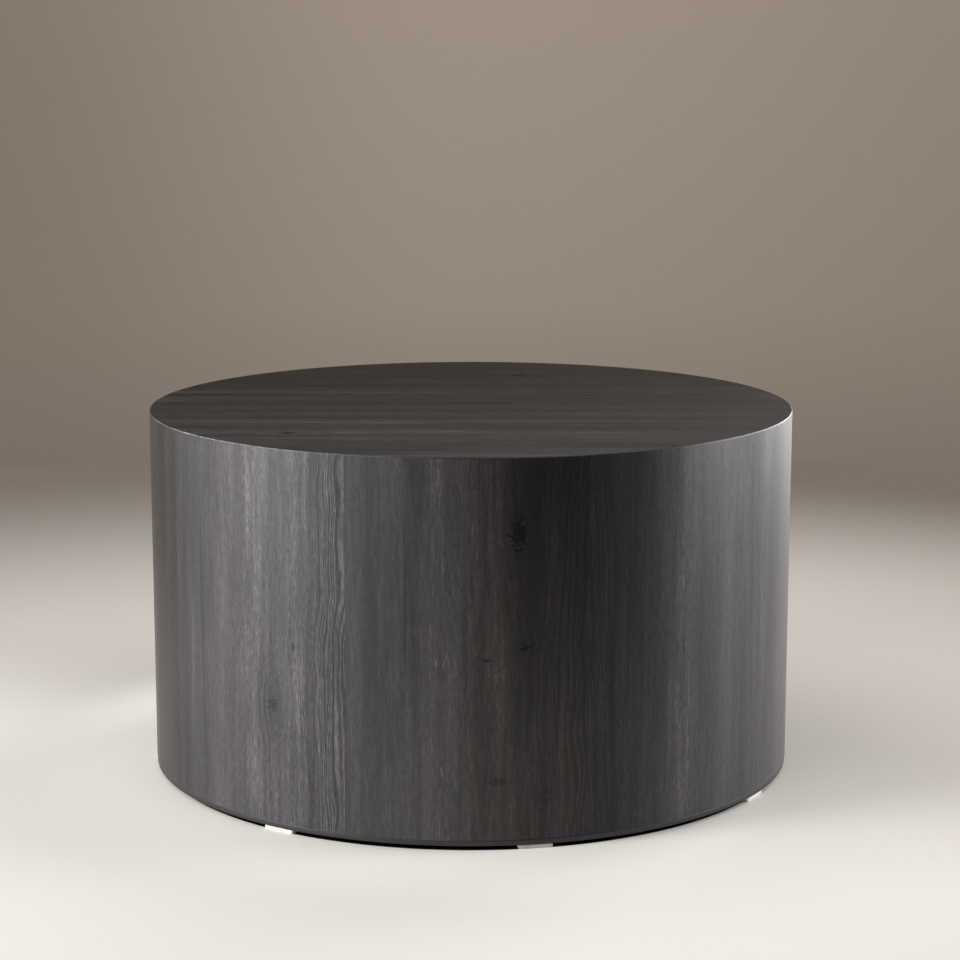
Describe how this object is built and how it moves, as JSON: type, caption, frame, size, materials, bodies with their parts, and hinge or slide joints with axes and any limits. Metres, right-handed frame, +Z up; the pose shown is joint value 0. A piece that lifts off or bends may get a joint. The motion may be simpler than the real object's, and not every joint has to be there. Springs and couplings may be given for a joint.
{
  "type": "round coffee table",
  "caption": "Low round drum coffee table with a flush top, wrapped in black-stained oak veneer and standing on short felt glides at its rim.",
  "frame": {"origin": "on the floor, under the middle of the drum, where the glides' undersides lie", "axes": "+Z up, -Y towards the viewer in front, +X to that viewer's right; the grain of the top runs along X"},
  "size_m": [0.8, 0.8, 0.45],
  "materials": {
    "black_oak_veneer": "oak veneer stained black, satin lacquer, open grain",
    "black_stained_board": "thin board stained black, matt",
    "fibreboard": "raw medium-density fibreboard",
    "plywood": "raw birch plywood, edges showing their layers",
    "softwood": "planed softwood, raw",
    "beech": "turned beech, raw",
    "white_felt": "pressed white felt",
    "zinc_plated_steel": "bright zinc plate"
  },
  "bodies": {
    "root": {"top_veneer": "black_oak_veneer", "side_veneer_left": "black_oak_veneer", "side_veneer_right": "black_oak_veneer", "base_ring": "black_stained_board", "glide_1": "white_felt", "glide_2": "white_felt", "glide_3": "white_felt", "glide_4": "white_felt", "glide_5": "white_felt", "glide_6": "white_felt", "glide_7": "white_felt", "glide_8": "white_felt", "top_panel": "fibreboard", "shell_front": "plywood", "shell_back": "plywood", "shell_tongue_left": "plywood", "shell_tongue_right": "plywood", "upper_former": "plywood", "lower_former": "plywood", "stud_1": "softwood", "stud_2": "softwood", "stud_3": "softwood", "stud_4": "softwood", "stud_5": "softwood", "stud_6": "softwood", "stud_7": "softwood", "stud_8": "softwood", "lower_dowel_1": "beech", "lower_dowel_2": "beech", "lower_dowel_3": "beech", "lower_dowel_4": "beech", "lower_dowel_5": "beech", "lower_dowel_6": "beech", "lower_dowel_7": "beech", "lower_dowel_8": "beech", "upper_dowel_1": "beech", "upper_dowel_2": "beech", "upper_dowel_3": "beech", "upper_dowel_4": "beech", "upper_dowel_5": "beech", "upper_dowel_6": "beech", "upper_dowel_7": "beech", "upper_dowel_8": "beech", "top_screw_1": "zinc_plated_steel", "top_screw_2": "zinc_plated_steel", "top_screw_3": "zinc_plated_steel", "top_screw_4": "zinc_plated_steel", "top_screw_5": "zinc_plated_steel", "top_screw_6": "zinc_plated_steel", "top_screw_7": "zinc_plated_steel", "top_screw_8": "zinc_plated_steel", "base_screw_1": "zinc_plated_steel", "base_screw_2": "zinc_plated_steel", "base_screw_3": "zinc_plated_steel", "base_screw_4": "zinc_plated_steel", "base_screw_5": "zinc_plated_steel", "base_screw_6": "zinc_plated_steel", "base_screw_7": "zinc_plated_steel", "base_screw_8": "zinc_plated_steel"}
  },
  "joints": []
}
